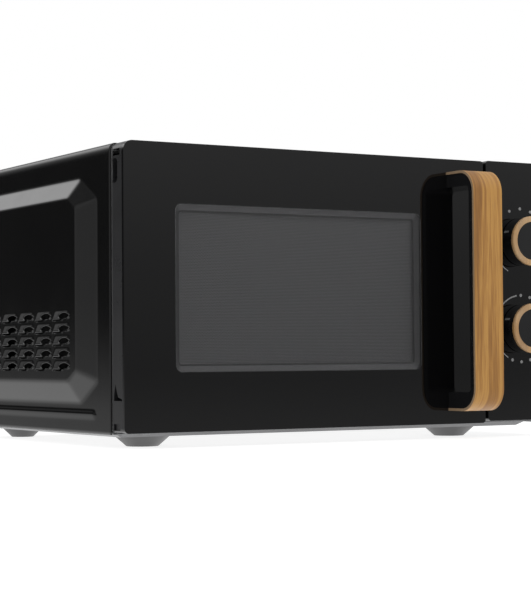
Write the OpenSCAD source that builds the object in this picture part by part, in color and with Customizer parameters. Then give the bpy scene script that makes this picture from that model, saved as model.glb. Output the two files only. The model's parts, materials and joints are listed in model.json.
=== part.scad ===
// Countertop microwave oven with a left-hinged glass door, a bent-wood bow handle and two dials.
// Most modules are drawn in case coordinates: X from the left side of the case, Y from the front
// face of the door and Z from the bottom edge of the door.

/* [Case] */
// Width over the flat sides of the case
body_w = 458; // [456:1:464]
// Depth from the door's front face to the rear edge of the case
body_d = 338.5; // [338:0.5:344]
// Height of the case top above the door's bottom edge
case_top = 246; // [245:0.5:246.5]
// Thickness of the pressed steel sheet
sheet = 1; // [0.8:0.1:1]
// How far the pressed panel stands out of each side
bulge = 10.5; // [9:0.5:12]
// Radius of the case's two top edges
case_r = 4.5; // [3:0.5:6]
// Height of a foot
foot_h = 9; // [8:0.5:12]

/* [Door] */
// Width of the door
door_w = 377; // [376:0.5:378]
// Height of the door
door_h = 246; // [245.5:0.5:247]
// Thickness of the door
door_t = 23.5; // [23:0.5:24]
// Thickness of the front glass
glass_t = 3.2; // [3:0.1:3.6]

/* [Window] */
// Left edge of the window
window_x = 49; // [46:0.5:52]
// Bottom edge of the window
window_z = 51; // [48:0.5:54]
// Width of the window
window_w = 256; // [250:0.5:258]
// Height of the window
window_h = 143; // [138:0.5:146]

/* [Handle] */
// How far the handle stands out of the door
handle_out = 41.5; // [38:0.5:45]
// Width of the wooden strap
strap_w = 32.5; // [30:0.5:36]
// Thickness of the wooden strap
strap_t = 2.4; // [2:0.1:3.2]
// Outside radius of the strap's two bends
strap_r = 21; // [18:0.5:24]

/* [Cavity] */
// Inside width of the cooking cavity
cavity_w = 317; // [312:1:317]
// Inside depth of the cooking cavity
cavity_d = 300; // [290:1:300]
// Inside height of the cooking cavity
cavity_h = 212; // [205:1:212]

/* [Turntable] */
// Diameter of the glass tray
tray_d = 245; // [235:1:255]
// Diameter of a roller
roller_d = 15.4; // [15:0.1:15.4]
// Radius from the turntable's axis to the middle of a roller
roller_orbit = 86; // [80:1:95]

/* [Dials] */
// Diameter of a dial over its wooden ring
dial_d = 46.6; // [44:0.2:48]
// How far a dial stands out of the panel
dial_out = 19; // [15:0.5:20]
// Height of the upper dial above the door's bottom edge
power_z = 171; // [168:1:174]
// Height of the lower dial above the door's bottom edge
timer_z = 88.5; // [86:0.5:92]

/* [Hidden] */
$fn = 48;

eps = 0.01;                 // overshoot of a cutting tool
case_drop = 1.7;            // case sides reach this far below the door
pan_drop = 4.3;             // underside of the base pan below the door
pan_flange_z = -0.5;        // underside of the pan's rim
case_y = 25.1;              // front edge of the case and face of the front frame
frame_y = case_y + sheet;   // back of the front frame
rear_y = body_d - 3.5;      // front of the rear panel
door_y = (handle_out - body_d) / 2;
door_z = foot_h + pan_drop;

// Hinge axis, in case coordinates, with a running clearance round its pins
hinge_x = 8;
hinge_y = 15;
pin_r = 3;
run_gap = 0.06;

// Cavity box
cavity_x = 24.5;
cavity_z = 16;
cavity_cx = cavity_x + cavity_w / 2;
cavity_cy = frame_y + cavity_d / 2;
cavity_right = cavity_x + cavity_w + sheet;

// Levels of the turntable
roller_z = cavity_z + 8;
tray_z = cavity_z + 16;

// Handle, centred on the strap
strap_x = 334;
strap_z0 = 12.3;
strap_z1 = 233.6;
grip_z0 = 29.6;
grip_z1 = 219;
grip_t = 5.9;
core_inset = 0.6;
screw_x = strap_x + strap_w / 2;
screw_z = [22, 226];

// Latch
latch_x = 366;
latch_w = 4;
latch_z = [62, 182];
latch_bar_y = 9;

// Control panel
panel_x = 380.5;
panel_z0 = 1.8;
panel_z1 = 246.8;
dial_x = 420.6;
shaft_r = 3;

black = [0.03, 0.03, 0.035];
steel = [0.62, 0.63, 0.64];
grey = [0.42, 0.42, 0.43];
wood = [0.67, 0.49, 0.29];

// Moves case coordinates into the part's own frame
module in_case() {
    translate([-body_w / 2, door_y, door_z]) children();
}

// Extrudes an X-Z outline from y0 to y1
module along_y(y0, y1) {
    translate([0, y1, 0]) rotate([90, 0, 0]) linear_extrude(height = y1 - y0) children();
}

// Extrudes a Y-Z outline from x0 to x1
module along_x(x0, x1) {
    translate([x0, 0, 0]) rotate([90, 0, 90]) linear_extrude(height = x1 - x0) children();
}

// A box given by its two opposite corners
module block(a, b) {
    translate(a) cube(b - a);
}

// A cylinder along Y from y0 to y1
module rod_y(x, z, r, y0, y1) {
    translate([x, y1, z]) rotate([90, 0, 0]) cylinder(r = r, h = y1 - y0);
}

// A rectangle whose corners are rounded by r = [bottom left, bottom right, top right, top left]
module rounded(x0, z0, x1, z1, r) {
    polygon([[x0 + r[0], z0], [x1 - r[1], z0], [x1, z0 + r[1]], [x1, z1 - r[2]],
        [x1 - r[2], z1], [x0 + r[3], z1], [x0, z1 - r[3]], [x0, z0 + r[0]]]);
    translate([x0 + r[0], z0 + r[0]]) circle(r[0]);
    translate([x1 - r[1], z0 + r[1]]) circle(r[1]);
    translate([x1 - r[2], z1 - r[2]]) circle(r[2]);
    translate([x0 + r[3], z1 - r[3]]) circle(r[3]);
}

module window_outline(grow = 0) {
    rounded(window_x - grow, window_z - grow, window_x + window_w + grow,
        window_z + window_h + grow, [6, 6, 6, 6]);
}

// ---------------------------------------------------------------- outer case

// Outline of the case seen from the front, moved inwards by inset
module case_outline(inset, z0 = -case_drop) {
    r = case_r - inset;
    x1 = body_w - inset;
    z1 = case_top - inset;
    polygon([[inset, z0], [x1, z0], [x1, z1 - r], [x1 - r, z1], [inset + r, z1], [inset, z1 - r]]);
    for (x = [inset + r, x1 - r]) translate([x, z1 - r]) circle(r);
}

bulge_y = [49.9, body_d - 20];
bulge_z = [23.5, 220.5];
top_y = [74.8, body_d - 44.9];
top_z = [43.5, 202.8];

function octagon(y, z, c) = [[y[0] + c, z[0]], [y[1] - c, z[0]], [y[1], z[0] + c],
    [y[1], z[1] - c], [y[1] - c, z[1]], [y[0] + c, z[1]], [y[0], z[1] - c], [y[0], z[0] + c]];

// The pressed panel: a low frustum from x_base out to x_top
module side_bulge(x_base, x_top) {
    hull() {
        along_x(x_base, x_base + eps) polygon(octagon(bulge_y, bulge_z, 15));
        along_x(x_top, x_top + eps) polygon(octagon(top_y, top_z, 10));
    }
}

louvre_pitch = [38.3, 11];
louvre_len = 31;
louvre_z = 56.8;

// Places one child at each louvre of a block of columns
module each_louvre(columns) {
    middle = (top_y[0] + top_y[1]) / 2;
    for (i = columns, j = [0 : 4])
        translate([-bulge, middle + i * louvre_pitch[0], louvre_z + j * louvre_pitch[1]]) children();
}

module louvre_hood() {
    along_y(-louvre_len / 2, louvre_len / 2)
        polygon([[0.5, 3.8], [0, 3.8], [-2.3, -1.2], [-2.3, -3.2], [0.5, -3.2]]);
}

module louvre_slot() {
    along_y(1 - louvre_len / 2, louvre_len / 2 - 1)
        polygon([[1.5, 2.4], [0.2, 2.4], [-1.4, -1.6], [-1.4, -3.9], [1.5, -3.9]]);
}

bead_z = 14.6;
bead_y = [63, body_d - 26];

// A half-round bead pressed along the foot of the side
module side_bead(r) {
    translate([3.5, 0, bead_z]) {
        translate([0, bead_y[1], 0]) rotate([90, 0, 0]) cylinder(r = r, h = bead_y[1] - bead_y[0]);
        for (y = bead_y) translate([0, y, 0]) sphere(r = r);
    }
}

// Everything pressed outwards on one side, as a solid or as the space behind it
module side_press(columns) {
    side_bulge(0, -bulge);
    side_bead(6);
    each_louvre(columns) louvre_hood();
}

module side_hollow(columns) {
    side_bulge(sheet + eps, sheet - bulge);
    intersection() {
        side_bead(6 - sheet);
        block([-5, 0, 0], [sheet + 0.05, body_d, 40]);
    }
    each_louvre(columns) louvre_slot();
}

module wrapper() color(black) in_case() difference() {
    union() {
        difference() {
            along_y(case_y, body_d) case_outline(0);
            along_y(case_y - 1, body_d + 1) case_outline(sheet, -case_drop - 1);
        }
        intersection() {
            union() {
                side_press([-2 : 2]);
                translate([body_w, 0, 0]) mirror([1, 0, 0]) side_press([0 : 2]);
            }
            union() {
                block([-20, 0, 0], [sheet / 2, body_d, case_top]);
                block([body_w - sheet / 2, 0, 0], [body_w + 20, body_d, case_top]);
            }
        }
    }
    side_hollow([-2 : 2]);
    translate([body_w, 0, 0]) mirror([1, 0, 0]) side_hollow([0 : 2]);
}

pan_y = [28, rear_y - 0.2];

// The dished floor of the base pan, raised by lift, up to the level z_top
module pan_dish(lift, z_top) {
    z0 = -pan_drop + lift;
    z1 = pan_flange_z + lift;
    intersection() {
        along_y(0, body_d) polygon([[5, z1], [12, z0], [438, z0], [447, z1], [447, z_top], [5, z_top]]);
        along_x(0, body_w) polygon([[pan_y[0] + 0.8, z1], [pan_y[0] + 3.5, z0], [pan_y[1] - 8, z0],
            [pan_y[1] - 4, z1], [pan_y[1] - 4, z_top], [pan_y[0] + 0.8, z_top]]);
    }
}

module base_pan() color(grey) in_case() difference() {
    union() {
        pan_dish(0, pan_flange_z + sheet / 2);
        block([sheet + 0.2, pan_y[0], pan_flange_z], [body_w - sheet - 0.2, pan_y[1], pan_flange_z + sheet]);
        for (x = [sheet + 0.2, body_w - 2 * sheet - 0.2])
            block([x, pan_y[0], pan_flange_z], [x + sheet, pan_y[1], 12]);
    }
    pan_dish(sheet, 5);
    for (i = [0 : 5]) block([368 + i * 11, 215, -6], [372 + i * 11, 262, 2]);
    for (i = [0 : 7]) block([80 + i * 11, 290, -6], [84 + i * 11, 318, 2]);
}

foot_wall = 2.3;

// A hollow foot of radius r0 at the table and r1 at the pan
module foot(x, y, r0, r1) {
    taper = (r1 - r0) * 2.5 / foot_h;
    translate([x, y, -door_z]) difference() {
        cylinder(r1 = r0, r2 = r1, h = foot_h);
        translate([0, 0, 2.5])
            cylinder(r1 = r0 + taper - foot_wall, r2 = r1 - foot_wall, h = foot_h - 2.5 + eps);
    }
}

module feet() color(grey) in_case() {
    for (x = [45, 375.5]) foot(x, 56, 14, 24.3);
    for (x = [40, 378]) foot(x, 306, 10.5, 20);
}

inlet_x = 362;
inlet_z = 66;

module rear_panel() color(grey) in_case() difference() {
    along_y(rear_y, rear_y + sheet) case_outline(sheet + 0.2, 0.7);
    for (j = [0 : 9]) block([365, rear_y - 1, 120 + j * 9], [440, rear_y + 3, 124 + j * 9]);
    for (i = [0 : 11]) block([60 + i * 9, rear_y - 1, 196], [64 + i * 9, rear_y + 3, 224]);
    rod_y(inlet_x, inlet_z, 6.5, rear_y - 1, rear_y + 2);
    for (x = rear_screw_x, z = rear_screw_z) rod_y(x, z, 2, rear_y - 1, rear_y + 2);
}

module cord_gland() color(black) in_case()
    translate([inlet_x, rear_y, inlet_z]) rotate([-90, 0, 0]) rotate_extrude()
        polygon([[3.6, -9], [7.5, -9], [9, -4], [9, 0], [6.4, 0], [6.4, sheet], [10, sheet],
            [10, sheet + 1], [8.5, sheet + 2.4], [3.6, sheet + 2.4]]);

rear_screw_x = [20, body_w / 2, body_w - 20];
rear_screw_z = [8, 232];
hinge_screw_x = 19;
hinge_screw_z = [14, 32, 208, 228];

// The screws that hold the rear panel, the hinges and the control panel
module case_screws() color(steel) in_case() {
    for (x = rear_screw_x, z = rear_screw_z) translate([x, rear_y + sheet, z])
        rotate([-90, 0, 0]) screw(3.6, 1.9, 9);
    for (z = hinge_screw_z) translate([hinge_screw_x, case_y, z]) rotate([90, 0, 0]) screw(3, 1.1, 8);
}

// A pan-head screw whose head stands on Z = 0 and whose shank points down
module screw(head_r, head_h, length) {
    difference() {
        cylinder(r = head_r, h = head_h);
        translate([-head_r, -0.4, head_h - 0.6]) cube([2 * head_r, 0.8, 1]);
    }
    translate([0, 0, -length]) cylinder(r = head_r / 2, h = length + eps);
}

// ------------------------------------------------------------ cavity and chassis

feed_y = [138, 202];
feed_z = [168, 212];

module cavity() color(steel) in_case() difference() {
    block([cavity_x - sheet, frame_y, cavity_z - sheet],
        [cavity_right, frame_y + cavity_d + sheet, cavity_z + cavity_h + sheet]);
    block([cavity_x, frame_y - 1, cavity_z],
        [cavity_x + cavity_w, frame_y + cavity_d, cavity_z + cavity_h]);
    translate([cavity_cx, cavity_cy, cavity_z - 5]) cylinder(r = 9, h = 10);
    block([cavity_right - 5, feed_y[0], feed_z[0]], [cavity_right + 5, feed_y[1], feed_z[1]]);
    for (i = [0 : 4], j = [0 : 2]) {
        translate([cavity_x - 5, 250 + i * 9, 190 + j * 9]) rotate([0, 90, 0]) cylinder(r = 2, h = 10);
        translate([cavity_right - 5, 74 + i * 7, 192 + j * 7]) rotate([0, 90, 0]) cylinder(r = 1.8, h = 10);
    }
}

// Slot through which one latch hook reaches its switch
module latch_slot(z) {
    block([362.5, case_y - 1, z - 6.5], [373.8, frame_y + 1, z + 12.5]);
}

// Clearance holes of the hinge screws
module hinge_screw_holes() {
    for (z = hinge_screw_z) rod_y(hinge_screw_x, z, 1.7, case_y - 1, frame_y + 3);
}

module front_frame() color(steel) in_case() difference() {
    along_y(case_y, frame_y) intersection() {
        case_outline(sheet + 0.2, -1.4);
        square([panel_x - 0.4, 400]);
    }
    block([cavity_x, case_y - 1, cavity_z],
        [cavity_x + cavity_w, frame_y + 1, cavity_z + cavity_h]);
    for (z = latch_z) latch_slot(z);
    block([2.5, case_y - 1, 234.8], [13.5, frame_y + 1, 238.8]);
    hinge_screw_holes();
}

module waveguide() color(steel) in_case() {
    y = [feed_y[0] - 4, feed_y[1] + 4];
    z = [feed_z[0] - 50, feed_z[1] + 6];
    x = [cavity_right, cavity_right + 22];
    difference() {
        block([x[0], y[0], z[0]], [x[1], y[1], z[1]]);
        block([x[0] - 1, y[0] + sheet, z[0] + sheet], [x[1] - sheet, y[1] - sheet, z[1] - sheet]);
        translate([x[1] - 3, (y[0] + y[1]) / 2, magnetron_z]) rotate([0, 90, 0]) cylinder(r = 10, h = 6);
    }
}

module waveguide_cover() color([0.75, 0.68, 0.5]) in_case()
    block([cavity_x + cavity_w - 0.9, feed_y[0] - 8, feed_z[0] - 8],
        [cavity_x + cavity_w - 0.3, feed_y[1] + 8, feed_z[1] + 8]);

lamp_y = 88;
lamp_z = 199;

module lamp_holder() color([0.85, 0.85, 0.8]) in_case() difference() {
    block([cavity_right + 0.2, lamp_y - 16, lamp_z - 13], [cavity_right + 32, lamp_y + 16, lamp_z + 13]);
    block([cavity_right - 1, lamp_y - 14, lamp_z - 11], [cavity_right + 30, lamp_y + 14, lamp_z + 11]);
    translate([cavity_right + 28, lamp_y, lamp_z]) rotate([0, 90, 0]) cylinder(r = 6.5, h = 6);
}

module cavity_lamp() color([1, 0.95, 0.8]) in_case()
    translate([cavity_right + 40, lamp_y, lamp_z]) rotate([0, -90, 0]) {
        cylinder(r = 6.2, h = 14);
        translate([0, 0, 14 - eps]) cylinder(r = 6, h = 12);
        translate([0, 0, 26]) sphere(r = 6);
    }

// ------------------------------------------------------------------------ door

module upper_hinge() color(steel) in_case() {
    difference() {
        block([2.6, hinge_y - 6, 236], [13.4, frame_y + 1.6, 237.6]);
        for (s = [-1, 1]) translate([hinge_x + s * 5.4, hinge_y - 6, 235])
            rotate([0, 0, 45]) cube([4, 4, 8], center = true);
    }
    difference() {
        block([2.6, frame_y + 0.1, 203], [22.8, frame_y + 1.6, 237.6]);
        hinge_screw_holes();
    }
    translate([hinge_x, hinge_y, 237]) cylinder(r = pin_r, h = 6.6);
}

module lower_hinge() color(steel) in_case() {
    difference() {
        block([2.6, hinge_y - 9, -1.6], [27, frame_y + 1.6, -0.3]);
        translate([hinge_x - 5.4, hinge_y - 9, -3]) rotate([0, 0, 45]) cube([5, 5, 8], center = true);
    }
    difference() {
        block([2.6, frame_y + 0.1, -1.6], [22.8, frame_y + 1.6, 40]);
        hinge_screw_holes();
    }
    translate([hinge_x, hinge_y, -1]) cylinder(r = pin_r, h = 9.2);
}

door_r = [4, 3, 3, 8.5];

// Space inside the door frame for the steel screen
screen_x = [15.5, 362];
screen_z = [9, 237];
web_y = 6.4;                // back of the frame's front web
swing_r = case_y - hinge_y - 0.2;

module door_frame() color(black) in_case() difference() {
    along_y(glass_t, door_t) rounded(0, 0, door_w, door_h, door_r);
    block([screen_x[0], web_y, screen_z[0]], [screen_x[1], door_t + 1, screen_z[1]]);
    along_y(glass_t - 1, web_y + 1) window_outline();
    // rear left edge rounded about the hinge axis, so that it swings past the case
    difference() {
        block([-1, hinge_y, -1], [hinge_x, door_t + 1, door_h + 1]);
        translate([hinge_x, hinge_y, -2]) cylinder(r = swing_r, h = door_h + 4);
    }
    // hinge notch and bores
    block([-1, 7, 234], [screen_x[0] + 1, door_t + 1, 239.8]);
    translate([hinge_x, hinge_y, 239]) cylinder(r = pin_r + run_gap, h = 5.2);
    translate([hinge_x, hinge_y, -1]) cylinder(r = pin_r + run_gap, h = 9.8);
    // hollow mouldings in the hinge side
    along_x(-1, 9) rounded(11.5, 211, 22, 232, [4.5, 4.5, 4.5, 4.5]);
    along_x(-1, 9) polygon([[4.5, 27.2], [19.5, 27.2], [19.5, 32], [16.8, 41], [14.5, 36], [12, 30.4],
        [4.5, 28.6]]);
    along_x(-1, 2.5) rounded(8, 2.2, 22, 7.8, [1, 1, 1, 1]);
    // latch channel
    block([latch_x - 0.6, latch_bar_y - 1, 44], [latch_x + latch_w + 0.6, door_t + 1, 208]);
    // handle screws
    for (z = screw_z) rod_y(screw_x, z, 2.2, glass_t - 1, web_y + 1);
}

module door_glass() color([0.02, 0.02, 0.025]) in_case() difference() {
    along_y(0, glass_t) rounded(0, 0, door_w, door_h, door_r);
    for (z = screw_z) rod_y(screw_x, z, 2.2, -1, glass_t + 1);
}

module door_screen() color(grey) in_case() difference() {
    block([screen_x[0] + 0.3, 9, screen_z[0] + 0.3], [screen_x[1] - 0.3, 20, screen_z[1] - 0.3]);
    // folded choke channel round the rim
    difference() {
        block([screen_x[0] + 1.3, 10, screen_z[0] + 1.3], [screen_x[1] - 1.3, 21, screen_z[1] - 1.3]);
        difference() {
            block([38, 9, 33], [328, 22, 213]);
            block([39, 8, 34], [327, 23, 212]);
        }
    }
    for (z = screw_z) rod_y(screw_x, z, 4.6, 8, 10.5);
}

module door_film() color([0.7, 0.75, 0.75, 0.4]) in_case()
    block([39.3, 10.1, 34.3], [326.7, 10.7, 211.7]);

module choke_cover() color([0.12, 0.12, 0.13]) in_case() difference() {
    block([screen_x[0] + 0.3, 20.1, screen_z[0] + 0.3], [screen_x[1] - 0.3, door_t, screen_z[1] - 0.3]);
    along_y(19, door_t + 1) rounded(44, 40, 322, 206, [6, 6, 6, 6]);
}

// One hook arm, with its nose pointing down
module latch_arm(z) {
    along_x(latch_x, latch_x + latch_w)
        polygon([[14, z], [39, z], [39, z - 4.5], [41.5, z - 4.5], [44, z + 1], [44, z + 4],
            [42, z + 6], [14, z + 6]]);
}

module latch_hooks() color([0.85, 0.85, 0.83]) in_case() {
    block([latch_x, latch_bar_y, 56], [latch_x + latch_w, 15, 196]);
    for (z = latch_z) latch_arm(z);
}

// Close-wound return spring below the latch bar
module latch_spring() color(steel) in_case()
    translate([latch_x + latch_w / 2, 12, 45]) rotate_extrude() union() {
        for (i = [0 : 10]) translate([1.5, 0.5 + i]) circle(r = 0.52, $fn = 16);
        translate([1.3, 0.2]) square([0.4, 10.6]);
    }

// ---------------------------------------------------------------------- handle

// Y-Z outline of a bow between two heights, standing out by depth, its corners rounded by r
module bow(z0, z1, depth, r) {
    intersection() {
        union() {
            polygon([[0, z0], [0, z1], [r - depth, z1], [-depth, z1 - r], [-depth, z0 + r],
                [r - depth, z0]]);
            for (z = [z0 + r, z1 - r]) translate([r - depth, z]) circle(r);
        }
        translate([-depth, z0]) square([depth, z1 - z0]);
    }
}

module handle_strap() color(wood) in_case() along_x(strap_x, strap_x + strap_w) difference() {
    bow(strap_z0, strap_z1, handle_out, strap_r);
    translate([eps, 0]) bow(strap_z0 + strap_t, strap_z1 - strap_t, handle_out - strap_t + eps,
        strap_r - strap_t);
}

module handle_core() color(black) in_case() difference() {
    along_x(strap_x + core_inset, strap_x + strap_w - core_inset) difference() {
        bow(strap_z0 + strap_t, strap_z1 - strap_t, handle_out - strap_t, strap_r - strap_t);
        translate([eps, 0]) bow(grip_z0, grip_z1, handle_out - strap_t - grip_t + eps, 4);
    }
    for (z = screw_z) rod_y(screw_x, z, 2, -16, 1);
}

module handle_screws() color(steel) in_case() for (z = screw_z)
    translate([screw_x, web_y, z]) rotate([-90, 0, 0]) difference() {
        union() {
            cylinder(r = 4.2, h = 2.3);
            translate([0, 0, -20]) cylinder(r = 2, h = 20.1);
        }
        translate([-5, -0.5, 1.6]) cube([10, 1, 2]);
    }

// -------------------------------------------------------------- control panel

module control_panel() color(black) in_case() difference() {
    along_y(0, case_y - 0.3) rounded(panel_x, panel_z0, body_w, panel_z1, [3, 4, 4, 3]);
    block([panel_x + 2.4, 2.8, panel_z0 + 2.4], [body_w - 2.4, case_y + 1, panel_z1 - 2.4]);
    for (z = [power_z, timer_z]) rod_y(dial_x, z, 5, -1, 5);
}

// A dial's black body, its wooden ring and its shaft, on an axis along Y
module dial_body(z) {
    difference() {
        rod_y(dial_x, z, dial_d / 2 - 0.7, -dial_out + 0.8, -1);
        difference() {
            rod_y(dial_x, z, dial_d / 2 + 1, -dial_out - 1, -dial_out + 3.2);
            rod_y(dial_x, z, dial_d / 2 - 5.4, -dial_out - 2, -dial_out + 4);
        }
        rod_y(dial_x, z, 17, -8, 0);
    }
    difference() {
        rod_y(dial_x, z, 6.5, -8.1, -1);
        rod_y(dial_x, z, shaft_r, -7, 0);
    }
}

module dial_ring(z) {
    translate([dial_x, -dial_out, z]) rotate([-90, 0, 0]) rotate_extrude($fn = 64)
        polygon([[dial_d / 2 - 5.3, 0.4], [dial_d / 2 - 4.9, 0], [dial_d / 2 - 0.8, 0],
            [dial_d / 2, 0.8], [dial_d / 2, 3.1], [dial_d / 2 - 5.3, 3.1]]);
}

module dial_shaft(z) {
    rod_y(dial_x, z, shaft_r, -7, 18);
}

module power_knob() color(black) in_case() dial_body(power_z);
module power_knob_ring() color(wood) in_case() dial_ring(power_z);
module power_shaft() color(steel) in_case() dial_shaft(power_z);
module timer_knob() color(black) in_case() dial_body(timer_z);
module timer_knob_ring() color(wood) in_case() dial_ring(timer_z);
module timer_shaft() color(steel) in_case() dial_shaft(timer_z);

// A switch housing behind the panel, with a bore in which the dial's shaft turns
module dial_housing(z, w, h, d) {
    difference() {
        union() {
            block([dial_x - w / 2, 9, z - h / 2], [dial_x + w / 2, 9 + d, z + h / 2]);
            rod_y(dial_x, z, 8, 3, 9 + eps);
        }
        rod_y(dial_x, z, shaft_r + run_gap, 2, 18.2);
    }
}

module power_selector() color([0.9, 0.9, 0.85]) in_case() {
    dial_housing(power_z, 44, 50, 26);
    for (s = [-12, 0, 12]) block([dial_x + s - 0.4, 35, power_z - 6], [dial_x + s + 0.4, 42, power_z]);
}

module timer_unit() color([0.8, 0.8, 0.75]) in_case() {
    dial_housing(timer_z, 60, 58, 34);
    rod_y(dial_x - 12, timer_z - 10, 15, 43 - eps, 54);
    for (s = [-8, 8]) block([dial_x + s - 0.4, 43, timer_z + 14], [dial_x + s + 0.4, 50, timer_z + 20]);
}

module timer_bell() color([0.75, 0.7, 0.5]) in_case()
    translate([dial_x + 14, 45, timer_z + 2]) rotate([-90, 0, 0]) {
        difference() {
            sphere(r = 13);
            sphere(r = 12);
            translate([-20, -20, -20]) cube([40, 40, 20]);
        }
        translate([0, 0, -2]) cylinder(r = 1.5, h = 14.4);
    }

// ------------------------------------------------------------- door interlock

switch_y = [49, 64];
// Level of each switch plunger
plunger_z = [59, 66, 179];

module switch_bracket() color([0.8, 0.8, 0.78]) in_case() difference() {
    block([359, frame_y, 36], [378, 66, 208]);
    block([358, frame_y + 2, 52], [376, 67, 94]);
    block([358, frame_y + 2, 172], [376, 67, 202]);
    block([358, frame_y + 2, 97], [376, 67, 169]);
    for (z = latch_z) block([362.3, frame_y - 1, z - 6.8], [374, frame_y + 3, z + 12.8]);
}

// One snap switch, its body along Z
module snap_switch(z0, z1, plunger) {
    difference() {
        block([363, switch_y[0], z0], [373, switch_y[1], z1]);
        block([365.8, switch_y[0] - 1, plunger - 1.6], [370.2, switch_y[0] + 6, plunger + 1.6]);
    }
    for (z = [z0 + 3, z1 - 3]) block([367.5, switch_y[1] - eps, z - 2], [368.5, switch_y[1] + 6, z + 2]);
}

module door_switches() color([0.1, 0.1, 0.1]) in_case() {
    snap_switch(52.4, 62.2, plunger_z[0]);
    snap_switch(62.6, 90, plunger_z[1]);
    snap_switch(172.4, 200, plunger_z[2]);
}

module switch_plunger(z) color([0.8, 0.15, 0.1]) in_case()
    block([366, 44.4, z - 1.4], [370, switch_y[0] + 3.5, z + 1.4]);

module lower_switch_plunger() switch_plunger(plunger_z[0]);
module monitor_switch_plunger() switch_plunger(plunger_z[1]);
module upper_switch_plunger() switch_plunger(plunger_z[2]);

// ------------------------------------------------------------- microwave source

magnetron_z = 146;
yoke_x = [cavity_right + 22.1, cavity_right + 82];
yoke_y = [124, 216];
yoke_z = [106, 186];
tube_y = (yoke_y[0] + yoke_y[1]) / 2;

module magnetron_yoke() color(steel) in_case() difference() {
    block([yoke_x[0], yoke_y[0], yoke_z[0]], [yoke_x[1], yoke_y[1], yoke_z[1]]);
    block([yoke_x[0] + 1.5, yoke_y[0] - 1, yoke_z[0] + 1.5],
        [yoke_x[1] - 1.5, yoke_y[1] + 1, yoke_z[1] - 1.5]);
    translate([yoke_x[0] - 1, tube_y, magnetron_z]) rotate([0, 90, 0]) cylinder(r = 18.5, h = 100);
}

module magnetron_fins() color([0.8, 0.8, 0.82]) in_case() for (i = [0 : 5])
    difference() {
        block([yoke_x[0] + 16 + i * 5, yoke_y[0] + 4, yoke_z[0] + 2],
            [yoke_x[0] + 16.8 + i * 5, yoke_y[1] - 4, yoke_z[1] - 2]);
        translate([yoke_x[0], tube_y, magnetron_z]) rotate([0, 90, 0]) cylinder(r = 18.1, h = 60);
    }

module magnetron_tube() color([0.7, 0.45, 0.3]) in_case()
    translate([yoke_x[0], tube_y, magnetron_z]) rotate([0, 90, 0]) {
        translate([0, 0, 2]) cylinder(r = 18, h = 55);
        translate([0, 0, -6]) cylinder(r = 9, h = 8 + eps);
        translate([0, 0, -19]) cylinder(r = 7, h = 14);
    }

module filter_box() color(steel) in_case() difference() {
    block([yoke_x[1] + 0.1, tube_y - 34, magnetron_z - 28], [yoke_x[1] + 29, tube_y + 34, magnetron_z + 28]);
    block([yoke_x[1] + 1, tube_y - 33, magnetron_z - 27], [yoke_x[1] + 28, tube_y + 33, magnetron_z + 27]);
}

core_x = [345.5, 437.5];
core_y = [84, 150];
core_z = [-3.2, 70];

module transformer_core() color([0.35, 0.36, 0.38]) in_case() difference() {
    block([core_x[0], core_y[0], core_z[0]], [core_x[1], core_y[1], core_z[1]]);
    for (x = [core_x[0] + 15, core_x[1] - 33]) block([x, core_y[0] - 1, 14], [x + 18, core_y[1] + 1, 56]);
}

module transformer_windings() color([0.72, 0.4, 0.2]) in_case() difference() {
    block([core_x[0] + 16, core_y[0] - 12, 15], [core_x[1] - 16, core_y[1] + 12, 55]);
    block([core_x[0] + 32.8, core_y[0] - 0.2, 13], [core_x[1] - 32.8, core_y[1] + 0.2, 57]);
    block([core_x[0] + 10, core_y[0] - 20, 34.2], [core_x[1] - 10, core_y[1] + 20, 36]);
}

can_y = 190;
can_z = 24;

module capacitor() color([0.75, 0.76, 0.78]) in_case() {
    translate([355, 0, 0]) along_x(0, 80) {
        for (s = [-9, 9]) translate([can_y + s, can_z]) circle(r = 17);
        translate([can_y - 9, can_z - 17]) square([18, 34]);
    }
    for (s = [-8, 8]) block([434.9, can_y + s - 3, can_z - 0.4], [443, can_y + s + 3, can_z + 0.4]);
}

module capacitor_clamp() color(steel) in_case() difference() {
    translate([385, 0, 0]) along_x(0, 14) difference() {
        union() {
            for (s = [-9, 9]) translate([can_y + s, can_z]) circle(r = 18.3);
            translate([can_y - 9, can_z - 18.3]) square([18, 36.6]);
            translate([can_y - 27.3, -3.2]) square([1.2, 27.2]);
            translate([can_y + 26.1, -3.2]) square([1.2, 27.2]);
            translate([can_y - 40, -3.2]) square([13, 1.2]);
            translate([can_y + 27, -3.2]) square([13, 1.2]);
        }
        for (s = [-9, 9]) translate([can_y + s, can_z]) circle(r = 17.1);
        translate([can_y - 9, can_z - 17.1]) square([18, 34.2]);
    }
    block([380, can_y - 26, -4], [404, can_y + 26, 8]);
}

module hv_diode() color(black) in_case() {
    translate([408, 232, 6]) rotate([0, 90, 0]) cylinder(r = 3.5, h = 22);
    translate([400, 232, 6]) rotate([0, 90, 0]) cylinder(r = 0.8, h = 8 + eps);
    translate([430 - eps, 232, 6]) rotate([0, 90, 0]) cylinder(r = 0.8, h = 8);
}

module filter_board() color([0.15, 0.4, 0.25]) in_case() {
    block([350, 288, 20], [440, 323, 21.6]);
    translate([372, 306, 21.5]) cylinder(r = 11, h = 14);
    translate([400, 298, 21.5]) cylinder(r = 5, h = 16);
    block([410, 292, 21.5], [434, 300, 33]);
    translate([412, 314, 24.6]) rotate([0, 90, 0]) cylinder(r = 3.2, h = 20);
    for (x = [353, 435], y = [291, 320]) translate([x, y, -3.2]) cylinder(r = 2, h = 23.3);
}

module thermal_cutouts() color([0.2, 0.2, 0.2]) in_case() {
    translate([cavity_right + 0.2, 240, 150]) rotate([0, 90, 0]) cutout();
    translate([yoke_x[0] + 30, tube_y, yoke_z[1] + 0.1]) cutout();
}

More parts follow.
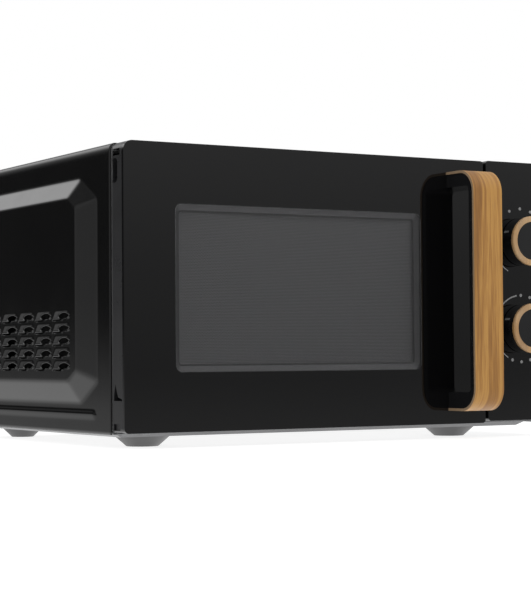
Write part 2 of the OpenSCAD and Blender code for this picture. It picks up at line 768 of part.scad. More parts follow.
module cutout() {
    cylinder(r = 8, h = 6);
    translate([0, 0, 6 - eps]) cylinder(r = 6, h = 4);
    for (s = [-4, 4]) translate([s - 0.4, -3, 9]) cube([0.8, 6, 7]);
}

// ------------------------------------------------------------------------- fan

fan_x = 402;
fan_z = 165;
fan_r = 44;

module fan_shroud() color([0.75, 0.75, 0.72]) in_case() difference() {
    block([fan_x - 51, 296, fan_z - 51], [fan_x + 51, rear_y - 0.2, fan_z + 51]);
    block([fan_x - 49, 298, fan_z - 49], [fan_x + 49, rear_y + 1, fan_z + 49]);
    rod_y(fan_x, fan_z, fan_r + 2, 290, 300);
}

module fan_motor() color([0.45, 0.45, 0.47]) in_case() difference() {
    union() {
        block([fan_x - 29, 258, fan_z - 30], [fan_x + 29, 274, fan_z + 30]);
        rod_y(fan_x, fan_z, 9, 274 - eps, 282);
        rod_y(fan_x, fan_z - 22, 13, 250, 283);
        for (s = [-1, 1]) {
            post_x = fan_x + s * 27;
            arm_x = fan_x + s * 38;
            block([post_x - 2, 274 - eps, fan_z - 2], [post_x + 2, 295.9, fan_z + 2]);
            block([arm_x - 13, 292.9, fan_z - 4], [arm_x + 13, 295.9, fan_z + 4]);
        }
    }
    rod_y(fan_x, fan_z, 2 + run_gap, 262, 290);
}

module fan_blade() color([0.9, 0.9, 0.9]) in_case() {
    rod_y(fan_x, fan_z, 2, 264, 306);
    rod_y(fan_x, fan_z, 11, 304, 320);
    for (a = [0 : 72 : 288]) translate([fan_x, 312, fan_z]) rotate([0, a, 0])
        translate([9, 0, 0]) rotate([28, 0, 0]) translate([0, -0.8, -12]) cube([fan_r - 9 - 1.5, 1.6, 24]);
}

// ------------------------------------------------------------------- turntable

module turntable_motor() color([0.85, 0.85, 0.87]) in_case() translate([cavity_cx, cavity_cy, 0])
    difference() {
        union() {
            translate([0, 0, -3.2]) cylinder(r = 24.5, h = 16);
            cylinder(r = 9, h = 14.8);
            for (s = [-1, 1]) translate([s * 28, 0, 12]) cylinder(r = 5, h = 2.9);
            translate([-30, -3, 11.8]) cube([60, 6, 1]);
        }
        translate([0, 0, 3]) cylinder(r = 3 + run_gap, h = 20);
    }

module turntable_coupler() color([0.85, 0.85, 0.8]) in_case() translate([cavity_cx, cavity_cy, 0]) {
    translate([0, 0, 4]) cylinder(r = 3, h = 16);
    translate([0, 0, 18]) cylinder(r = 8, h = 10);
    for (a = [0 : 120 : 240]) rotate([0, 0, a]) translate([0, -3, 21]) cube([22, 6, 7]);
}

module roller_ring() color([0.8, 0.8, 0.8]) in_case() translate([cavity_cx, cavity_cy, roller_z]) {
    rotate_extrude($fn = 96) polygon([[roller_orbit - 11, -3], [roller_orbit - 4.4, -3],
        [roller_orbit - 4.4, 3], [roller_orbit - 11, 3]]);
    for (a = [0 : 120 : 240]) rotate([0, 0, a]) translate([roller_orbit - 5, 0, 0])
        rotate([0, 90, 0]) cylinder(r = 2, h = 10.5);
}

// A roller on the ring's axle stub at angle a
module roller(a) color([0.92, 0.92, 0.9]) in_case() translate([cavity_cx, cavity_cy, roller_z])
    rotate([0, 0, a]) translate([roller_orbit - 4, 0, 0]) rotate([0, 90, 0]) difference() {
        cylinder(r = roller_d / 2, h = 8);
        translate([0, 0, -1]) cylinder(r = 2 + run_gap, h = 10);
        for (b = [0 : 60 : 300]) rotate([0, 0, b]) translate([4.9, 0, -1]) cylinder(r = 1.2, h = 10);
    }

module roller_1() roller(0);
module roller_2() roller(120);
module roller_3() roller(240);

module glass_turntable() color([0.8, 0.87, 0.87, 0.5]) in_case() translate([cavity_cx, cavity_cy, 0]) {
    r = tray_d / 2;
    rotate_extrude($fn = 128) translate([0, tray_z]) polygon([[0, 0], [r - 20, 0], [r - 8, 5],
        [r - 1, 12], [r, 14], [r - 3, 14], [r - 10, 8.6], [r - 21, 4.5], [0, 4.5]]);
    for (a = [60 : 120 : 300]) rotate([0, 0, a]) translate([15, 0, tray_z - 4.5])
        cylinder(r = 4, h = 4.5 + eps);
}

wrapper();
base_pan();
feet();
rear_panel();
cord_gland();
cavity();
front_frame();
waveguide();
waveguide_cover();
cavity_lamp();
lamp_holder();
upper_hinge();
lower_hinge();
case_screws();
door_frame();
door_glass();
door_screen();
door_film();
choke_cover();
latch_hooks();
latch_spring();
handle_core();
handle_strap();
handle_screws();
control_panel();
power_knob();
power_knob_ring();
power_shaft();
power_selector();
timer_knob();
timer_knob_ring();
timer_shaft();
timer_unit();
timer_bell();
switch_bracket();
door_switches();
upper_switch_plunger();
lower_switch_plunger();
monitor_switch_plunger();
magnetron_yoke();
magnetron_fins();
magnetron_tube();
filter_box();
transformer_core();
transformer_windings();
capacitor();
capacitor_clamp();
hv_diode();
fan_shroud();
fan_motor();
fan_blade();
turntable_motor();
turntable_coupler();
roller_ring();
roller_1();
roller_2();
roller_3();
glass_turntable();
filter_board();
thermal_cutouts();
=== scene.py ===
import json
import math

import bmesh
import bpy
from mathutils import Matrix, Vector


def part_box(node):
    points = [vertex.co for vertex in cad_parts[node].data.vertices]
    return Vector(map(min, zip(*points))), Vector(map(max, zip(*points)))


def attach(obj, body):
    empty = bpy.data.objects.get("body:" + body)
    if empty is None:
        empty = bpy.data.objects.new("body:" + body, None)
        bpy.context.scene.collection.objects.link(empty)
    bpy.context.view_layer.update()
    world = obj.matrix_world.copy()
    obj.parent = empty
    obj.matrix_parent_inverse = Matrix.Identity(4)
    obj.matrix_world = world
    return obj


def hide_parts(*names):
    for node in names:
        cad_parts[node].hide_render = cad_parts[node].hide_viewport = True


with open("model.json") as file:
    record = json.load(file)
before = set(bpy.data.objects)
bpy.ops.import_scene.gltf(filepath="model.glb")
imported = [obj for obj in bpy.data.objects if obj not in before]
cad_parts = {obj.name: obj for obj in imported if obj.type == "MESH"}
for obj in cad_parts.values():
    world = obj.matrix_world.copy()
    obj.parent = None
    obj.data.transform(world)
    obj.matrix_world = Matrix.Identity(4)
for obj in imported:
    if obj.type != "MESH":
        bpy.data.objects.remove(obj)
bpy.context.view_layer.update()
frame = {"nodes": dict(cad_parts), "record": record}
nodes = frame["nodes"]
MM = 0.001

# Everything below is laid out in case coordinates, in millimetres: X from the left side of the case,
# Y from the front face of the door, Z from the bottom edge of the door. CORNER is their origin in the
# row frame.
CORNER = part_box("door_glass")[0]


def at(x, y, z):
    """A point of the case coordinates, in the row frame."""
    return CORNER + Vector((x, y, z)) * MM


def span(node):
    """The lowest and highest corner of a CAD node in case coordinates."""
    low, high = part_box(node)
    return (low - CORNER) / MM, (high - CORNER) / MM


# The window on the door's front face: two corners in X and Z, and the radius it is rounded by
WINDOW = ((49, 51), (304, 194))
WINDOW_CORNER = 6.0

# A box that ends 0.3 mm inside the sheet of the cavity's walls, with the enamel within it
CAVITY = ((24.2, 0, 15.7), (341.8, 326.4, 228.3))

# ---------------------------------------------------------------- materials


class Nodes:
    """A node tree, with short calls for its nodes."""

    def __init__(self, tree):
        self.tree = tree

    def node(self, kind, inputs=None, **settings):
        """A new node with its properties set, and its input sockets by name or number."""
        n = self.tree.nodes.new(kind)
        for key, value in settings.items():
            setattr(n, key, value)
        for socket, value in (inputs or {}).items():
            n.inputs[socket].default_value = value
        return n

    def link(self, a, b):
        self.tree.links.new(a, b)

    def remap(self, value, low, high, from_low=0.0, from_high=1.0):
        n = self.node("ShaderNodeMapRange", {"From Min": from_low, "From Max": from_high,
                                             "To Min": low, "To Max": high})
        self.link(value, n.inputs["Value"])
        return n.outputs["Result"]

    def ramp(self, value, stops):
        """Colours at given values, as (value, colour), joined by straight lines."""
        n = self.node("ShaderNodeValToRGB")
        while len(n.color_ramp.elements) < len(stops):
            n.color_ramp.elements.new(0.5)
        for element, (position, color) in zip(n.color_ramp.elements, stops):
            element.position = position
            element.color = (*color, 1)
        self.link(value, n.inputs["Fac"])
        return n.outputs["Color"]

    def mix(self, factor, a, b):
        """A colour between a and b, each a colour or a socket."""
        n = self.node("ShaderNodeMix", data_type="RGBA")
        for socket, value in zip((n.inputs[0], n.inputs[6], n.inputs[7]), (factor, a, b)):
            if isinstance(value, tuple):
                socket.default_value = (*value, 1)
            else:
                self.link(value, socket)
        return n.outputs[2]


class Shader(Nodes):
    """A Principled material with short calls for the nodes that drive it."""

    def __init__(self, name, color, roughness, metallic=0.0):
        self.mat = bpy.data.materials.new(name)
        self.mat.use_nodes = True
        super().__init__(self.mat.node_tree)
        self.bsdf = self.tree.nodes["Principled BSDF"]
        self.set("Base Color", (*color, 1))
        self.set("Roughness", roughness)
        self.set("Metallic", metallic)
        self.set("IOR", 1.5)
        self.color = color
        self.place = self.node("ShaderNodeTexCoord").outputs["Object"]

    def set(self, socket, value):
        self.bsdf.inputs[socket].default_value = value

    def drive(self, socket, value):
        self.link(value, self.bsdf.inputs[socket])

    def axes(self, vector):
        """The sockets "X", "Y" and "Z" of a vector."""
        parts = self.node("ShaderNodeSeparateXYZ")
        self.link(vector, parts.inputs[0])
        return parts.outputs

    def facing(self):
        """The parts of the surface's normal."""
        return self.axes(self.node("ShaderNodeNewGeometry").outputs["Normal"])

    def noise(self, scale, detail=3.0, roughness=0.5, stretch=(1, 1, 1)):
        """Noise of that scale per metre of the object's coordinates, which are multiplied by stretch."""
        n = self.node("ShaderNodeTexNoise", {"Scale": scale, "Detail": detail, "Roughness": roughness})
        mapping = self.node("ShaderNodeMapping", {"Scale": stretch})
        self.link(self.place, mapping.inputs["Vector"])
        self.link(mapping.outputs["Vector"], n.inputs["Vector"])
        return n.outputs["Fac"]

    def math(self, operation, a, b=0.0):
        n = self.node("ShaderNodeMath", operation=operation)
        for socket, value in zip(n.inputs, (a, b)):
            if isinstance(value, (int, float)):
                socket.default_value = value
            else:
                self.link(value, socket)
        return n.outputs[0]

    def vary(self, amount, scale, stretch=(1, 1, 1)):
        """Clouds the base colour by amount, up and down."""
        cloud = self.noise(scale, 4.0, 0.6, stretch)
        dark = tuple(c * (1 - amount) for c in self.color)
        light = tuple(min(1, c * (1 + amount)) for c in self.color)
        self.drive("Base Color", self.ramp(cloud, [(0.3, dark), (0.7, light)]))

    def uneven(self, low, high, scale, stretch=(1, 1, 1)):
        """Clouds that run from low to high."""
        return self.remap(self.noise(scale, 5.0, 0.6, stretch), low, high, 0.3, 0.7)

    def rough(self, low, high, scale, stretch=(1, 1, 1)):
        self.drive("Roughness", self.uneven(low, high, scale, stretch))

    def bump(self, height, depth_mm):
        n = self.node("ShaderNodeBump", {"Strength": 1.0, "Distance": depth_mm * MM})
        self.link(height, n.inputs["Height"])
        self.drive("Normal", n.outputs["Normal"])


def grained(name, color, roughness, grain_mm=0.5, depth_mm=0.012):
    """A moulded or cast surface: fine grain, slightly uneven colour and gloss."""
    s = Shader(name, color, roughness)
    s.vary(0.12, 14)
    s.rough(roughness * 0.85, roughness * 1.15, 40)
    s.bump(s.noise(1000 / grain_mm, 2.0), depth_mm)
    return s.mat


def sheet_metal(name, color, roughness, stretch=(1, 1, 30)):
    """Rolled or brushed metal whose streaks run along the axes that stretch leaves at 1."""
    s = Shader(name, color, roughness, metallic=1.0)
    s.vary(0.1, 30, stretch)
    s.rough(roughness * 0.7, roughness * 1.3, 60, stretch)
    s.bump(s.noise(300, 3.0, 0.5, stretch), 0.01)
    return s.mat


def oven_lining():
    """Speckled grey enamel inside the oven, with painted shade on the outside of its walls: dull and
    near-black there, for the dark inside the case seen through the louvres.
    """
    s = Shader("cavity_paint", (0.34, 0.34, 0.33), 0.3)
    # Near-black painted shade for the outside of the cavity's walls
    painted_shade = (0.01, 0.01, 0.0105)
    low, high = (at(*corner) for corner in CAVITY)
    place = s.axes(s.place)
    x, y, z = (place[axis] for axis in "XYZ")
    beyond = s.math("SUBTRACT", y, high.y)
    for gap in (s.math("SUBTRACT", low.x, x), s.math("SUBTRACT", x, high.x),
                s.math("SUBTRACT", low.z, z), s.math("SUBTRACT", z, high.z)):
        beyond = s.math("MAXIMUM", beyond, gap)
    outside = s.remap(beyond, 0.0, 1.0, 0.0, 0.1 * MM)
    # Painted shade: beyond the enamel box the colour turns near-black
    s.drive("Base Color", s.mix(outside, s.color, painted_shade))
    duller = s.math("MULTIPLY", outside, 0.6)
    s.drive("Roughness", s.math("ADD", s.uneven(0.25, 0.35, 40), duller))
    s.bump(s.noise(850, 2.0), 0.008)
    return s.mat


def gloss_paint():
    """Stoved black paint: glossy, with the faintest orange peel."""
    s = Shader("case_paint", (0.0018, 0.0018, 0.0019), 0.12)
    s.vary(0.2, 9)
    s.rough(0.09, 0.14, 25)
    s.bump(s.noise(260, 2.0), 0.006)
    return s.mat


LACQUER = (0.0022, 0.0022, 0.0024)


def mirror_gloss(s):
    """The gloss of lacquer or glass, with the slightest waves."""
    s.rough(0.02, 0.04, 12)
    s.bump(s.noise(4, 2.0), 0.02)
    return s.mat


def mirror_panel():
    """Black lacquer under a mirror gloss."""
    s = Shader("panel_plastic", LACQUER, 0.03)
    s.vary(0.2, 6)
    return mirror_gloss(s)


def door_glass_look():
    """Glass printed black on its back, apart from the window, which is smoked and clear."""
    low, high = (at(x, 0, z) for x, z in WINDOW)
    middle, half = (low + high) / 2, (high - low) / 2
    s = Shader("black_glass", LACQUER, 0.03)
    place = s.axes(s.place)
    reach = []
    for axis, centre, size in (("X", middle.x, half.x), ("Z", middle.z, half.z)):
        offset = s.math("ABSOLUTE", s.math("SUBTRACT", place[axis], centre))
        reach.append(s.math("MAXIMUM", s.math("SUBTRACT", offset, size - WINDOW_CORNER * MM), 0.0))
    corner = s.math("SQRT", s.math("ADD", *(s.math("MULTIPLY", r, r) for r in reach)))
    edge = 0.1
    clear = s.remap(corner, 1.0, 0.0, (WINDOW_CORNER - edge) * MM, (WINDOW_CORNER + edge) * MM)
    smoked = (0.62, 0.62, 0.63)
    s.drive("Base Color", s.mix(clear, s.color, smoked))
    s.drive("Transmission Weight", clear)
    return mirror_gloss(s)


def timber(name, painted_edges=False, faded=0.0):
    """Oak veneer with fine streaks; on request, a painted highlight along its rounded edges, pale like raw
    veneer, and painted shade on its flat cut sides.
    """
    s = Shader(name, (0.42, 0.24, 0.1), 0.5)
    # The first colour is pale raw veneer, also the painted highlight on rounded edges; the last is painted
    # shade for the flat cut sides
    raw_tone_and_highlight, pith, cut = (0.46, 0.33, 0.2), (0.25, 0.13, 0.05), (0.22, 0.15, 0.09)
    grain = [(0.41, (0.21, 0.088, 0.013)), (0.49, (0.3, 0.135, 0.022)), (0.56, (0.41, 0.207, 0.043))]
    bands = s.noise(95, 2.5, 0.5, (1, 0.02, 0.02))
    streaks = s.noise(430, 3.0, 0.7, (1, 0.03, 0.03))
    pores = s.noise(1600, 2.0, 0.5, (1, 0.06, 0.06))
    tone = s.math("ADD", s.math("MULTIPLY", bands, 0.5), s.math("MULTIPLY", streaks, 0.5))
    wood = s.ramp(tone, grain)
    pore = s.remap(pores, 0.0, 1.0, 0.60, 0.72)
    wood = s.mix(s.math("MULTIPLY", pore, 0.35), wood, pith)
    wood = s.mix(s.math("MULTIPLY", s.noise(40), faded), wood, raw_tone_and_highlight)
    if painted_edges:
        # Painted highlight: where the normal turns partly along X, on the rounded edges, the wood goes
        # paler
        turned = s.math("ABSOLUTE", s.facing()["X"])
        wood = s.mix(s.remap(turned, 0.0, 1.0, 0.15, 0.4), wood, raw_tone_and_highlight)
        # Painted shade: where the normal faces along X, on the flat cut sides, the wood goes darker
        wood = s.mix(s.remap(turned, 0.0, 1.0, 0.75, 0.97), wood, cut)
    s.drive("Base Color", wood)
    s.drive("Roughness", s.remap(streaks, 0.55, 0.42))
    s.bump(s.math("ADD", streaks, pore), 0.03)
    return s.mat


def clear_glass(name, tint, roughness=0.03):
    s = Shader(name, tint, roughness)
    s.set("Transmission Weight", 1.0)
    s.rough(roughness, roughness + 0.02, 20)
    s.bump(s.noise(25, 2.0), 0.01)
    return s.mat


def perforated():
    """The screen's grey paint, pierced all over by rows of round holes, which are dark grey as painted
    shade for the oven seen through them.
    """
    pitch = 1.5
    row_gap = 0.866  # of the pitch, so that three neighbouring holes stand in an equal triangle
    s = Shader("screen_paint", (0.295, 0.295, 0.295), 0.5)
    # Painted shade: the colour of the holes, for the dark oven behind the screen
    behind = (0.09, 0.09, 0.09)
    place = s.axes(s.place)
    row = s.math("MULTIPLY", place["Z"], 1 / (pitch * row_gap * MM))
    shift = s.math("MULTIPLY", s.math("PINGPONG", s.math("FLOOR", row), 1.0), 0.5)
    column = s.math("ADD", s.math("MULTIPLY", place["X"], 1 / (pitch * MM)), shift)
    u = s.math("SUBTRACT", s.math("FRACT", column), 0.5)
    v = s.math("MULTIPLY", s.math("SUBTRACT", s.math("FRACT", row), 0.5), row_gap)
    away = s.math("SQRT", s.math("ADD", s.math("MULTIPLY", u, u), s.math("MULTIPLY", v, v)))
    hole = s.remap(away, 1.0, 0.0, 0.27, 0.33)
    s.drive("Base Color", s.mix(hole, s.color, behind))
    s.bump(s.math("SUBTRACT", 1.0, hole), 0.3)
    return s.mat


def mica():
    s = Shader("mica", (0.48, 0.40, 0.26), 0.35)
    s.vary(0.35, 120)
    s.rough(0.25, 0.5, 90)
    s.bump(s.noise(500, 3.0), 0.05)
    return s.mat


def striped(s, axis, scale, stops, depth_mm, distortion=0.0):
    """Fine lines one after another along an axis, from the edges of sheets or the turns of a wire."""
    wave = s.node("ShaderNodeTexWave", {"Scale": scale, "Distortion": distortion}, bands_direction=axis)
    s.link(s.place, wave.inputs["Vector"])
    s.drive("Base Color", s.ramp(wave.outputs["Fac"], stops))
    s.bump(wave.outputs["Fac"], depth_mm)
    return s.mat


def laminated():
    """Stacked sheet laminations under a brown varnish."""
    s = Shader("lamination", (0.10, 0.095, 0.09), 0.4, metallic=0.7)
    return striped(s, "Y", 300, [(0.2, (0.04, 0.035, 0.03)), (0.6, (0.13, 0.12, 0.115))], 0.08, 0.3)


def wound():
    """Enamelled wire laid in rows along Z."""
    s = Shader("copper", (0.55, 0.22, 0.08), 0.3, metallic=0.9)
    return striped(s, "Z", 180, [(0.1, (0.2, 0.07, 0.02)), (0.7, (0.6, 0.26, 0.1))], 0.3)


LOOKS = {
    "case_paint": gloss_paint(),
    "pan_steel": grained("pan_steel", (0.23, 0.23, 0.235), 0.42, 1.0),
    "zinc_steel": sheet_metal("zinc_steel", (0.55, 0.56, 0.57), 0.32),
    "cavity_paint": oven_lining(),
    "black_glass": door_glass_look(),
    "door_plastic": grained("door_plastic", (0.012, 0.012, 0.013), 0.3, 0.6),
    "panel_plastic": mirror_panel(),
    "dial_plastic": grained("dial_plastic", (0.0025, 0.0025, 0.003), 0.3, 0.35, 0.01),
    "wood": timber("ring_wood", faded=0.9),
    "foot_plastic": grained("foot_plastic", (0.07, 0.07, 0.071), 0.5, 0.8),
    "black_plastic": grained("black_plastic", (0.006, 0.006, 0.0065), 0.18, 0.7, 0.006),
    "white_plastic": grained("white_plastic", (0.66, 0.66, 0.62), 0.42, 0.8),
    "red_plastic": grained("red_plastic", (0.5, 0.03, 0.02), 0.4, 0.8),
    "mica": mica(),
    "lamp_glass": clear_glass("lamp_glass", (1.0, 0.96, 0.88)),
    "tray_glass": clear_glass("tray_glass", (0.86, 0.93, 0.91)),
    "clear_film": clear_glass("clear_film", (0.9, 0.92, 0.92), 0.1),
    "aluminium": sheet_metal("aluminium", (0.75, 0.76, 0.77), 0.3, (30, 1, 1)),
    "copper": wound(),
    "lamination": laminated(),
    "bell_metal": sheet_metal("bell_metal", (0.72, 0.6, 0.33), 0.22),
    "board": grained("board", (0.02, 0.13, 0.05), 0.35, 1.5, 0.03),
}


def dress(piece, material):
    piece.data.materials.clear()
    piece.data.materials.append(material)


for entry in frame["record"]["subparts"]:
    dress(nodes[entry["node"]], LOOKS[entry["material_slot"]])
dress(nodes["front_frame"], grained("frame_paint", (0.13, 0.13, 0.132), 0.4))
dress(nodes["door_screen"], perforated())
# The strap gets a painted highlight on its rounded edges and painted shade on its cut sides
dress(nodes["handle_strap"], timber("strap_wood", painted_edges=True))

# The radius that the sharp edges of each of these CAD nodes are rounded by
SOFTENED = {
    "door_frame": 0.5,
    "door_glass": 0.8,
    "control_panel": 1.2,
    "handle_strap": 0.8,
    "handle_core": 0.6,
    "power_knob": 0.5,
    "timer_knob": 0.5,
    "power_knob_ring": 0.3,
    "timer_knob_ring": 0.3,
    "feet": 0.6,
}


def soften(piece, radius_mm):
    """Rounds a piece's sharp edges with a modifier, and shades it smooth."""
    for polygon in piece.data.polygons:
        polygon.use_smooth = True
    bevel = piece.modifiers.new("soft_edges", "BEVEL")
    bevel.width = radius_mm * MM
    bevel.segments = 2
    bevel.limit_method = "ANGLE"
    bevel.angle_limit = math.radians(35)
    bevel.harden_normals = True
    bevel.use_clamp_overlap = True


for node, radius in SOFTENED.items():
    soften(nodes[node], radius)


def new_piece(name, build, material, body, smooth=True):
    """Runs build(bm), which works in case coordinates, and makes a piece of what it leaves."""
    bm = bmesh.new()
    build(bm)
    bmesh.ops.recalc_face_normals(bm, faces=bm.faces)
    mesh = bpy.data.meshes.new(name)
    bm.transform(Matrix.Translation(CORNER) @ Matrix.Scale(MM, 4))
    bm.to_mesh(mesh)
    bm.free()
    for polygon in mesh.polygons:
        polygon.use_smooth = smooth
    piece = bpy.data.objects.new(name, mesh)
    bpy.context.scene.collection.objects.link(piece)
    dress(piece, material)
    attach(piece, body)
    return piece


# ---------------------------------------------------------------- wrapper

# One skin from the foot of the left side, over the top, to the foot of the right side
case_low, case_high = span("wrapper")
FLAT_LEFT = 0.0
FLAT_RIGHT = span("control_panel")[1].x
CASE_FRONT, CASE_BACK = case_low.y, case_high.y
CASE_FOOT, CASE_TOP = case_low.z, case_high.z
SKIN = 1.0

# The upper corner of each side, as (distance in from the side, distance below the top): it leans in, and
# from the last point a rounding of TOP_RADIUS, without its first LEAN_ANGLE, brings it to the top.
LEAN = [(0.0, 9.0), (0.05, 7.6), (0.17, 6.4), (0.36, 5.2), (0.6, 4.1)]
TOP_RADIUS = 4.1
LEAN_ANGLE = math.radians(15)
ROUND_STEPS = 6

# The panel pressed out of each side by BULGE, as two outlines: the foot of its slopes, and their brow.
# Each is (range in Y, range in Z, how far along Y its corners are cut). CORNER_SLOPE is the cuts' slope.
PRESS_OUT = ((49.9, CASE_BACK - 20), (23.5, 220.5), 34.0)
PRESS_TOP = ((74.8, CASE_BACK - 44.9), (43.5, 202.8), 15.2)
CORNER_SLOPE = 0.574
BULGE = 10.5
PRESS_CREASE, PRESS_KNEE = 30, 0.07

# The bead along each side's foot: its range in Y, the height of its crest, how far it reaches above and
# below the crest, and how far it stands out
BEAD = ((60, CASE_BACK - 26), 15.2, 4.0, 5.8, 0.75)

# The louvres stand in columns along Y and rows up Z. The right side has the three rear columns.
COLUMN_GAP, ROW_GAP = 38.3, 11
MIDDLE_COLUMN, LOWEST_ROW = sum(PRESS_TOP[0]) / 2 - 3, 56.8
LOUVRE_Y = [MIDDLE_COLUMN + i * COLUMN_GAP for i in range(-2, 3)]
LOUVRE_Z = [LOWEST_ROW + j * ROW_GAP for j in range(5)]

# One louvre, in u towards the front and v up from its place. Its hood is flush at HOOD_TOP, and stands out
# by HOOD at HOOD_BROW and below. An end of the hood is (u of the end at HOOD_TOP, how far the end moves in
# per millimetre up, the length it rises over). Its foot climbs by HOOD_STEP[2], from u = HOOD_STEP[0] on,
# over HOOD_STEP[1].
HOOD = 2.2
HOOD_TOP, HOOD_BROW = 4.8, -2.9
HOOD_REAR, HOOD_FRONT = (-10.5, 0.8, 5), (17.5, 0.1, 4)
HOOD_STEP = (1, 6, 2)
HOOD_CREASE, HOOD_KNEE, STEP_KNEE = 8, 0.1, 0.3
# The sheet is cut by a slit along the foot, between two values of u, and by an oval mouth, whose centre
# and half sizes are in (u, v). Grid points within SNAP of the mouth's rim, in its half sizes, move onto it.
SLIT_REAR, SLIT_FRONT, SLIT_HEIGHT = -15.5, 7.0, 1.3
MOUTH, MOUTH_HALF = (8.4, 0.1), (9.2, 2.6)
SNAP = 0.16

# The grid over the sides in runs of (start, end, step), finer where the sheet turns
LOUVRES_LOW, LOUVRES_HIGH = LOUVRE_Z[0] - ROW_GAP / 2, LOUVRE_Z[-1] + ROW_GAP / 2
GRID_Z = ((CASE_FOOT, 9, 2.5), (9, 21, 0.8), (21, 46, 1.6), (46, LOUVRES_LOW, 1.2),
          (LOUVRES_LOW, LOUVRES_HIGH, ROW_GAP / 17), (LOUVRES_HIGH, 198, 3.5), (198, 224, 1.6),
          (224, CASE_TOP - LEAN[0][1], 3))
GRID_Y = ((CASE_FRONT, 47, 3), (47, 90, 1.6), (90, 278, 1.25), (278, CASE_BACK - 16, 1.6),
          (CASE_BACK - 16, CASE_BACK, 3))
TOP_STEP, TOP_MARGIN = 30, 2

# Each side's flat, the way it faces along X, and its louvre columns
SIDES = {"left": (FLAT_LEFT, -1, LOUVRE_Y), "right": (FLAT_RIGHT, 1, LOUVRE_Y[2:])}


def eased(t, knee):
    """A straight ramp from 0 to 1 whose two ends are rounded over knee."""
    t = min(1.0, max(0.0, t))
    slope = 1 / (1 - knee)
    if t < knee:
        return slope * t * t / (2 * knee)
    if t > 1 - knee:
        return 1 - slope * (1 - t) ** 2 / (2 * knee)
    return slope * (t - knee / 2)


def least(values, sharpness):
    """The smallest value, with the creases between the values rounded."""
    low = min(values)
    return low - math.log(sum(math.exp(-sharpness * (v - low)) for v in values)) / sharpness


def octagon_edges(outline):
    """Each side of a rectangle with sloping corner cuts, as (inward normal, offset)."""
    (y0, y1), (z0, z1), cut = outline
    edges = [((1, 0), y0), ((-1, 0), -y1), ((0, 1), z0), ((0, -1), -z1)]
    size = math.hypot(CORNER_SLOPE, 1)
    for sy, y in ((1, y0), (-1, -y1)):
        for sz, z in ((1, z0), (-1, -z1)):
            normal = (sy * CORNER_SLOPE / size, sz / size)
            edges.append((normal, (y * CORNER_SLOPE + z + cut * CORNER_SLOPE) / size))
    return edges


FRUSTUM = list(zip(octagon_edges(PRESS_OUT), octagon_edges(PRESS_TOP)))


def press_height(y, z):
    """The embossed panel: the lowest of the planes through its outer and inner outline."""
    climbs = []
    for ((ny, nz), foot), (_, brow) in FRUSTUM:
        climbs.append((ny * y + nz * z - foot) / (brow - foot))
    return BULGE * eased(least(climbs, PRESS_CREASE), PRESS_KNEE)


def louvre_place(y, z, columns):
    """Where a point lies on the nearest louvre: along it towards the front, and up, or None."""
    row = round((z - LOUVRE_Z[0]) / ROW_GAP)
    if row < 0 or row >= len(LOUVRE_Z):
        return None
    along = min((c - y for c in columns), key=abs)
    return along, z - LOUVRE_Z[row]


def mouth_reach(u, v):
    """How far a point of a louvre is from the middle of its mouth, where 1 is the rim."""
    return math.hypot((u - MOUTH[0]) / MOUTH_HALF[0], (v - MOUTH[1]) / MOUTH_HALF[1])


def hood_foot(u):
    """How low a hood reaches: lowest along its rear half, and only to the mouth's lower rim in front."""
    start, length, rise = HOOD_STEP
    return HOOD_BROW - SLIT_HEIGHT + rise * eased((u - start) / length, STEP_KNEE)


def hood_height(y, z, columns):
    """A hood like a sloping blade: flush along its top, standing out furthest along its foot."""
    place = louvre_place(y, z, columns)
    if place is None:
        return 0.0
    u, v = place
    climb = (HOOD_TOP - v) / (HOOD_TOP - HOOD_BROW)
    under = (v - hood_foot(u)) / SLIT_HEIGHT
    rear, rear_lean, rear_run = HOOD_REAR
    front, front_lean, front_run = HOOD_FRONT
    behind = (u - rear - rear_lean * (v - HOOD_TOP)) / rear_run
    ahead = (front - front_lean * (v - HOOD_TOP) - u) / front_run
    return HOOD * eased(least((climb, under, behind, ahead), HOOD_CREASE), HOOD_KNEE)


def snapped(y, z, columns):
    """Moves a grid point that is near a mouth's rim onto the rim."""
    place = louvre_place(y, z, columns)
    if place is None:
        return y, z
    u, v = place
    reach = mouth_reach(u, v)
    if abs(reach - 1) > SNAP:
        return y, z
    return y + (u - MOUTH[0]) * (1 - 1 / reach), z - (v - MOUTH[1]) * (1 - 1 / reach)


def is_cut(face_points, columns):
    """True where the middle of a face is in a louvre's mouth or in the slit under its hood."""
    y = sum(p[1] for p in face_points) / 4
    z = sum(p[2] for p in face_points) / 4
    place = louvre_place(y, z, columns)
    if place is None:
        return False
    u, v = place
    in_slit = SLIT_REAR < u < SLIT_FRONT and 0 < v - hood_foot(u) < SLIT_HEIGHT
    return in_slit or mouth_reach(u, v) < 1


def side_height(y, z, columns):
    """How far a side stands out from its flat."""
    height = press_height(y, z)
    (y0, y1), z0, above, below, bead_out = BEAD
    away = math.hypot(z - z0, max(y0 - y, 0, y - y1)) / (above if z > z0 else below)
    if away < 1:
        height = max(height, bead_out * (0.5 + 0.5 * math.cos(math.pi * away)))
    return height + hood_height(y, z, columns)


def lines(*runs):
    """Grid lines through several runs, each (start, end, step)."""
    out = []
    for start, end, step in runs:
        count = max(1, round((end - start) / step))
        out += [start + (end - start) * i / count for i in range(count)]
    return out + [runs[-1][1]]


